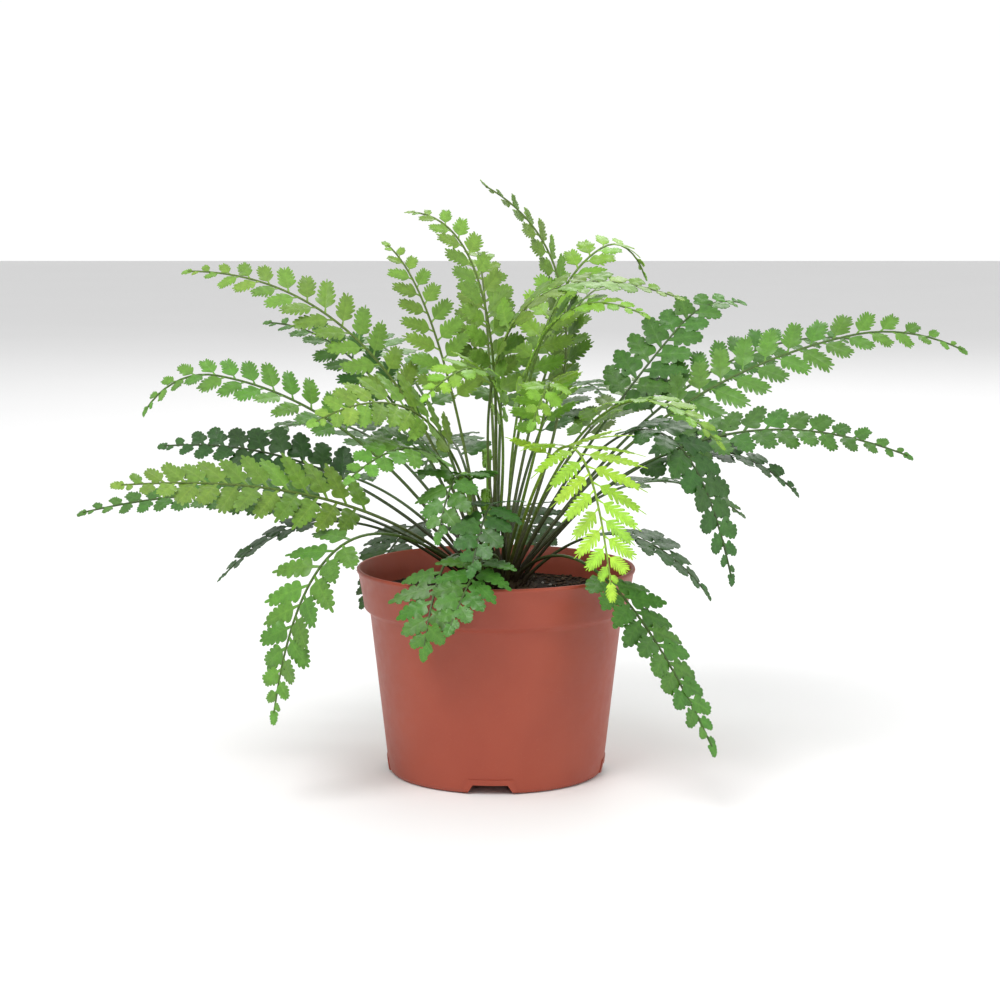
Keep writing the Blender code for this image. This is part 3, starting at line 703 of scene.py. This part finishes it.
def sector(inner_r, outer_r, low, high, half_low, half_high, azimuth, steps=24):
    points = []
    for i in range(steps + 1):
        u = 2.0 * i / steps - 1.0
        for z, half in ((low, half_low), (high, half_high)):
            a = math.radians(azimuth + u * half)
            for r in (inner_r, outer_r(z)):
                points.append((r * math.cos(a), r * math.sin(a), z))
    faces = [(0, 1, 3, 2)]
    for i in range(steps):
        a, b = 4 * i, 4 * i + 4
        faces += [(a, b, b + 1, a + 1), (a + 2, a + 3, b + 3, b + 2),
                  (a, a + 2, b + 2, b), (a + 1, b + 1, b + 3, a + 3)]
    last = 4 * steps
    faces.append((last, last + 2, last + 3, last + 1))
    return points, faces


def boolean(target, points, faces, operation):
    tool = bpy.data.objects.new("tool", mesh_from("tool", points, faces, False))
    bpy.context.collection.objects.link(tool)
    mod = target.modifiers.new("cut", "BOOLEAN")
    mod.operation = operation
    mod.solver = "EXACT"
    mod.object = tool
    graph = bpy.context.evaluated_depsgraph_get()
    mesh = bpy.data.meshes.new_from_object(target.evaluated_get(graph))
    target.modifiers.remove(mod)
    target.data = mesh
    bpy.data.objects.remove(tool, do_unlink=True)


def build_pot(mat):
    profile = [
        (FOOT_INNER_R, 0), (FOOT_OUTER_R - 0.3, 0), (FOOT_OUTER_R + 0.25, 0.15),
        (WALL_BASE_R - 0.45, 0.6), (WALL_BASE_R, 1.3), (WALL_BASE_R + 0.2, 2.0),
        (wall_radius(12), 12), (wall_radius(36), 36), (wall_radius(60), 60),
        (WALL_TOP_R - 0.08, BAND_Z - 0.7), (WALL_TOP_R + 0.25, BAND_Z + 0.1),
        (BAND_BASE_R - 0.5, BAND_Z + 1.5), (BAND_BASE_R - 0.1, BAND_Z + 2.0),
        (BAND_BASE_R + 0.05, BAND_Z + 2.9), (58.2, 80.5), (BAND_TOP_R - 0.05, POT_HEIGHT - 2.2),
        (RIM_R - 0.15, POT_HEIGHT - 1.7), (RIM_R, POT_HEIGHT - 1.1),
        (RIM_R - 0.12, POT_HEIGHT - 0.5), (RIM_R - 0.45, POT_HEIGHT - 0.1),
        (RIM_R - 0.85, POT_HEIGHT), (RIM_R - 1.3, POT_HEIGHT - 0.15),
        (RIM_R - 1.7, POT_HEIGHT - 0.6), (BAND_BASE_R - WALL + 0.6, 80.0),
        (BAND_BASE_R - WALL, BAND_Z + 3.4), (BAND_BASE_R - WALL - 0.6, BAND_Z + 2.2),
        (WALL_TOP_R - WALL + 0.2, BAND_Z + 1.0), (WALL_TOP_R - WALL - 0.05, BAND_Z),
        (wall_radius(FLOOR_TOP_Z) - WALL, FLOOR_TOP_Z + 0.6),
        (wall_radius(FLOOR_TOP_Z) - WALL - 0.6, FLOOR_TOP_Z),
        (CENTRE_HOLE_R + 0.2, FLOOR_TOP_Z), (CENTRE_HOLE_R, FLOOR_TOP_Z - 0.2),
        (CENTRE_HOLE_R, FLOOR_UNDER_Z), (FOOT_INNER_R, FLOOR_UNDER_Z),
    ]
    mesh = mesh_from("pot", *lathe(profile, POT_SEGMENTS))
    pot = new_object("nursery_pot", mesh, (mat,), "pot")
    for i in range(NOTCHES):
        azimuth = NOTCH_AZIMUTH + 360.0 * i / NOTCHES
        boolean(pot, *sector(WALL_BASE_R - 0.2, lambda z: wall_radius(z) + SURROUND_PROUD, 1.0,
                             SURROUND_HEIGHT, NOTCH_HALF_BOTTOM + SURROUND,
                             NOTCH_HALF_TOP + SURROUND, azimuth), "UNION")
        boolean(pot, *sector(FOOT_INNER_R - 2, lambda z: WALL_BASE_R + 4, -1.0, NOTCH_HEIGHT,
                             NOTCH_HALF_BOTTOM + 0.8, NOTCH_HALF_TOP, azimuth), "DIFFERENCE")
    for i in range(DRAIN_HOLES):
        a = math.radians(NOTCH_AZIMUTH + 45.0 + 360.0 * i / DRAIN_HOLES)
        cx, cy, m = DRAIN_RING_R * math.cos(a), DRAIN_RING_R * math.sin(a), 40
        ring = [(DRAIN_HOLE_R * math.cos(math.tau * k / m) + cx,
                 DRAIN_HOLE_R * math.sin(math.tau * k / m) + cy) for k in range(m)]
        points = [(x, y, z) for z in (FLOOR_UNDER_Z - 1, FLOOR_TOP_Z + 1) for x, y in ring]
        faces = [tuple(range(m)), tuple(range(m, 2 * m))]
        faces += [(k, (k + 1) % m, (k + 1) % m + m, k + m) for k in range(m)]
        boolean(pot, points, faces, "DIFFERENCE")
    pot.data.shade_smooth()
    pot.data.set_sharp_from_angle(angle=math.radians(38))
    if not pot.data.materials:
        pot.data.materials.append(mat)


# --- soil, crown and croziers ------------------------------------------------------------------
def lump(points, faces, centre, size, rng):
    """Adds one irregular crumb: a squashed ball of 18 triangles and quads."""
    start, turn = len(points), rng.uniform(0, 6.3)
    squash = rng.uniform(0.5, 0.9)
    points.append(Vector(centre) + Vector((0, 0, size * squash)))
    for ring, (z, r) in enumerate(((0.45, 0.85), (-0.45, 0.9))):
        for k in range(6):
            a = math.tau * k / 6 + turn
            rr = r * size * rng.uniform(0.7, 1.25)
            points.append(Vector(centre) + Vector((rr * math.cos(a), rr * math.sin(a),
                                                   z * size * squash)))
    points.append(Vector(centre) - Vector((0, 0, size * squash)))
    for k in range(6):
        m = (k + 1) % 6
        faces.append((start, start + 1 + k, start + 1 + m))
        faces.append((start + 1 + k, start + 7 + k, start + 7 + m, start + 1 + m))
        faces.append((start + 7 + k, start + 13, start + 7 + m))


def soil_height(x, y):
    r = math.hypot(x, y)
    base = SOIL_CENTRE_Z - (SOIL_CENTRE_Z - SOIL_EDGE_Z) * max(0.0, (r - 19) / 37) ** 1.0
    bumps = noise.fractal(Vector((x, y, 0)) * 0.11, 0.8, 2.1, 4) * 1.0
    fade = min(1.0, max(0.0, (r - 17.5) / 4)) * min(1.0, max(0.0, (54.8 - r) / 2.5))
    return base + bumps * fade - 0.1


def build_soil(mats):
    rng = random.Random(21)
    points, faces = [(0, 0, FLOOR_TOP_Z + GAP)], []
    edge = BAND_BASE_R - WALL - GAP
    segments, rings = 120, 40
    outline = [(wall_radius(6) - WALL - 2 * GAP, FLOOR_TOP_Z + GAP),
               (WALL_TOP_R - WALL - 2 * GAP, BAND_Z + 0.2),
               (BAND_BASE_R - WALL - 2 * GAP, BAND_Z + 3.6)]
    levels = [[(r, z)] * segments for r, z in outline]
    for k in range(rings):
        r = edge * (1 - k / rings) if k else edge
        levels.append([(r, None)] * segments)
    for level in levels:
        for i, (r, z) in enumerate(level):
            a = math.tau * i / segments
            x, y = r * math.cos(a), r * math.sin(a)
            points.append((x, y, soil_height(x, y) if z is None else z))
    points.append((0, 0, SOIL_CENTRE_Z - 0.1))
    for i in range(segments):
        j = (i + 1) % segments
        faces.append((0, 1 + j, 1 + i))
        for k in range(len(levels) - 1):
            a, b = 1 + k * segments, 1 + (k + 1) * segments
            faces.append((a + i, a + j, b + j, b + i))
        top = 1 + (len(levels) - 1) * segments
        faces.append((top + i, top + j, len(points) - 1))
    body = len(faces)
    for k in range(900):
        r, a = 19 + 34.5 * math.sqrt(rng.random()), rng.uniform(0, math.tau)
        x, y, size = r * math.cos(a), r * math.sin(a), rng.uniform(0.35, 1.3)
        lump(points, faces, (x, y, soil_height(x, y) + size * 0.2), size, rng)
    pale = len(faces)
    for k in range(36):
        r, a = 21 + 31 * math.sqrt(rng.random()), rng.uniform(0, math.tau)
        x, y, size = r * math.cos(a), r * math.sin(a), rng.uniform(0.4, 0.9)
        lump(points, faces, (x, y, soil_height(x, y) + size * 0.35), size, rng)
    mesh = mesh_from("soil", points, faces, False)
    soil = new_object("potting_mix", mesh, mats, "potting_soil")
    for i, poly in enumerate(mesh.polygons):
        poly.material_index = 2 if i >= pale else (1 if i >= body and i % 3 == 0 else 0)
    mesh.shade_smooth()
    mesh.set_sharp_from_angle(angle=math.radians(45))
    return soil


def build_crown(mat):
    rng = random.Random(33)
    points, faces = [(0, 0, SOIL_CENTRE_Z + GAP)], []
    segments, steps = 60, 16
    levels = [(CROWN_R - 0.5, SOIL_CENTRE_Z + GAP)]
    levels += [(CROWN_R * (1 - k / steps), None) for k in range(steps)]
    for r, z in levels:
        for i in range(segments):
            a = math.tau * i / segments
            x, y = r * math.cos(a), r * math.sin(a)
            rough = noise.fractal(Vector((x, y, 3)) * 0.35, 0.8, 2.0, 3) * 0.35
            points.append((x, y, z if z else crown_height(r) - 0.35 + rough))
    points.append((0, 0, CROWN_TOP_Z - 0.3))
    for i in range(segments):
        j = (i + 1) % segments
        faces.append((0, 1 + j, 1 + i))
        for k in range(len(levels) - 1):
            a, b = 1 + k * segments, 1 + (k + 1) * segments
            faces.append((a + i, a + j, b + j, b + i))
        top = 1 + (len(levels) - 1) * segments
        faces.append((top + i, top + j, len(points) - 1))
    for k in range(260):                       # papery scales and stubs of old stalks
        r, a = 17.2 * math.sqrt(rng.random()), rng.uniform(0, math.tau)
        foot = Vector((r * math.cos(a), r * math.sin(a), crown_height(r) - 0.7))
        out = Vector((math.cos(a), math.sin(a), 0))
        rise = (out * rng.uniform(0.2, 0.9) + Vector((0, 0, 1))).normalized()
        side = rise.cross(out).normalized() * rng.uniform(0.45, 0.9)
        back = rise.cross(side).normalized() * 0.22
        height = rng.uniform(1.2, 2.8)
        start = len(points)
        for t, w in ((0.0, 1.0), (0.55, 0.85)):
            mid = foot + rise * height * t + out * (0.5 * t * t)
            points += [mid - side * w, mid + back, mid + side * w, mid - back * 0.6]
        points.append(foot + rise * height + out * 0.6)
        faces.append((start + 3, start + 2, start + 1, start))
        for e in range(4):
            f = (e + 1) % 4
            faces.append((start + e, start + f, start + 4 + f, start + 4 + e))
            faces.append((start + 4 + e, start + 4 + f, start + 8))
    return new_object("rootstock", mesh_from("rootstock", points, faces), (mat,), "crown")


def smooth_path(points, steps):
    """Catmull-Rom points through the path's own points."""
    out = []
    for i in range(len(points) - 1):
        p0, p1 = points[max(0, i - 1)], points[i]
        p2, p3 = points[i + 1], points[min(len(points) - 1, i + 2)]
        for k in range(steps):
            t = k / steps
            out.append(0.5 * (2 * p1 + (p2 - p0) * t + (2 * p0 - 5 * p1 + 4 * p2 - p3) * t * t
                              + (3 * p1 - p0 - 3 * p2 + p3) * t ** 3))
    return out + [points[-1]]


def build_crozier(index, spec, leaf):
    path, across = crozier_spine(*spec)
    path = smooth_path(path, 5)
    path[0] = path[0] - Vector((0, 0, 0.8))
    frames, radii, n = [], [], len(path)
    for i in range(n):
        along = (path[min(i + 1, n - 1)] - path[max(i - 1, 0)]).normalized()
        frames.append((across, along.cross(across)))
        radii.append(1.15 - 0.55 * max(0.0, i / n - 0.25))
    points, faces = tube(path, frames, radii, 10, 0.3)
    rng = random.Random(70 + index)
    for i in range(26, n - 2, 2):              # the rolled-up leaflets on both flanks of the coil
        for side in (1, -1):
            centre = path[i] + across * side * (radii[i] + 0.15)
            lump(points, faces, centre, rng.uniform(0.55, 0.85) * (1 - 0.35 * i / n), rng)
    tints = np.tile(np.array(TINTS["bright"]) * 0.9, (len(points), 1))
    ripe = np.array([max(0.0, 1 - (p.z - CROWN_TOP_Z) / 22) for p in points])[:, None]
    tints = tints * (1 - 0.7 * ripe) + np.array((0.05, 0.03, 0.012)) * 0.7 * ripe
    mesh = attributed_mesh("crozier", points, faces, tints, np.zeros(len(points)),
                           np.zeros(len(points)))
    mesh.shade_smooth()
    mesh.set_sharp_from_angle(angle=math.radians(60))
    node = f"crozier_{index + 1:02d}"
    return new_object(node + "_coil", mesh, (leaf,), node)


# --- stage, lights and camera ------------------------------------------------------------------
def area_light(name, position, target, size, energy, colour=(1, 1, 1)):
    data = bpy.data.lights.new(name, "AREA")
    data.shape, data.size, data.energy, data.color = "DISK", size, energy, colour
    ob = bpy.data.objects.new(name, data)
    ob.location = position
    ob.rotation_euler = (Vector(target) - Vector(position)).to_track_quat("-Z", "Y").to_euler()
    bpy.context.collection.objects.link(ob)


def build_stage():
    size = 6.0
    mesh = bpy.data.meshes.new("floor")
    mesh.from_pydata([(-size, -size, 0), (size, -size, 0), (size, size, 0), (-size, size, 0)], [],
                     [(0, 1, 2, 3)])
    n = Nodes("floor_paper")
    tone = n.remap(n.noise(3.0, 2.0), 0.3, 0.7, 0.90, 0.91)
    grey = n.node("ShaderNodeCombineColor", Red=tone, Green=tone, Blue=tone).outputs[0]
    mesh.materials.append(n.finish(grey, 0.6, 0.2))
    floor = bpy.data.objects.new("floor", mesh)
    floor.location.z = -0.0004
    bpy.context.collection.objects.link(floor)

    world = bpy.data.worlds.new("studio")
    bpy.context.scene.world = world
    world.use_nodes = True
    tree = world.node_tree
    back = tree.nodes["Background"]
    back.inputs["Color"].default_value = (1, 1, 1, 1)
    path = tree.nodes.new("ShaderNodeLightPath")
    level = tree.nodes.new("ShaderNodeMapRange")
    level.inputs[3].default_value = 0.72
    level.inputs[4].default_value = 1.02
    tree.links.new(path.outputs["Is Camera Ray"], level.inputs[0])
    tree.links.new(level.outputs[0], back.inputs["Strength"])
    area_light("key", (-0.7, -1.1, 1.7), (0, 0, 0.12), 1.1, 26.0)
    area_light("fill", (1.5, -1.2, 0.9), (0, 0, 0.1), 1.4, 9.0)
    area_light("rear", (0.3, 1.6, 1.5), (0, 0, 0.15), 1.3, 12.0)
    bpy.context.scene.view_settings.view_transform = "Standard"


def build_camera():
    camera = bpy.data.cameras.new("camera")
    camera.sensor_width, camera.lens = 36.0, 86.1
    ob = bpy.data.objects.new("camera", camera)
    ob.location = Vector((1.7, -1018.0, 257.0)) * MM + AXIS
    ob.rotation_euler = (math.radians(90 - 7.8), 0, 0)
    bpy.context.collection.objects.link(ob)
    bpy.context.scene.camera = ob


leaf, stalk_mat = leaf_material(), stalk_material()
peat = earth_material("peat", (0.010, 0.006, 0.004), (0.045, 0.026, 0.015), 0.88)
bark = earth_material("bark", (0.045, 0.024, 0.012), (0.11, 0.062, 0.032), 0.82)
perlite = earth_material("perlite", (0.35, 0.33, 0.29), (0.62, 0.60, 0.55), 0.85)
scales = earth_material("crown_scales", (0.022, 0.013, 0.007), (0.085, 0.052, 0.024), 0.8)

build_stage()
build_camera()
build_pot(plastic_material())
build_soil((peat, bark, perlite))
build_crown(scales)
for number, coil in enumerate(CROZIERS):
    build_crozier(number, coil, leaf)
for number, frond in enumerate(FRONDS):
    build_frond(number, frond, leaf, stalk_mat)
